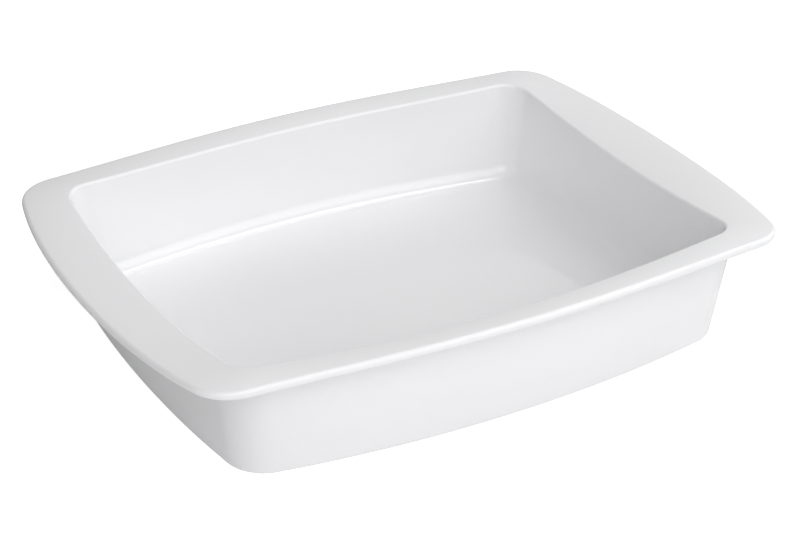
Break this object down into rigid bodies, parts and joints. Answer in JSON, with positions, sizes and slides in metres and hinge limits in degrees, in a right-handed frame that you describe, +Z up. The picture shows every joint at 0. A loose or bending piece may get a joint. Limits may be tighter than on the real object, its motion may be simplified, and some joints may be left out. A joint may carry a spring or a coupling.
{
  "type": "lasagna dish",
  "caption": "Rectangular baking dish with bowed sides, drafted walls, a cove round the floor and a flat rim that broadens into a scooped handle at each end.",
  "frame": {"origin": "centre of the foot ring, on the plane that the dish stands on", "axes": "+X runs from the left handle to the right handle, +Y towards the back long side, +Z up out of the basin"},
  "size_m": [0.4, 0.3014, 0.0715],
  "materials": {
    "white_glaze": "glossy transparent glaze over white porcelain",
    "bare_porcelain": "matte, unglazed and ground flat"
  },
  "bodies": {
    "root": {"foot_ring": "bare_porcelain", "basin_floor": "white_glaze", "front_wall": "white_glaze", "back_wall": "white_glaze", "left_wall": "white_glaze", "right_wall": "white_glaze", "front_rim": "white_glaze", "back_rim": "white_glaze", "left_handle": "white_glaze", "right_handle": "white_glaze"}
  },
  "joints": []
}
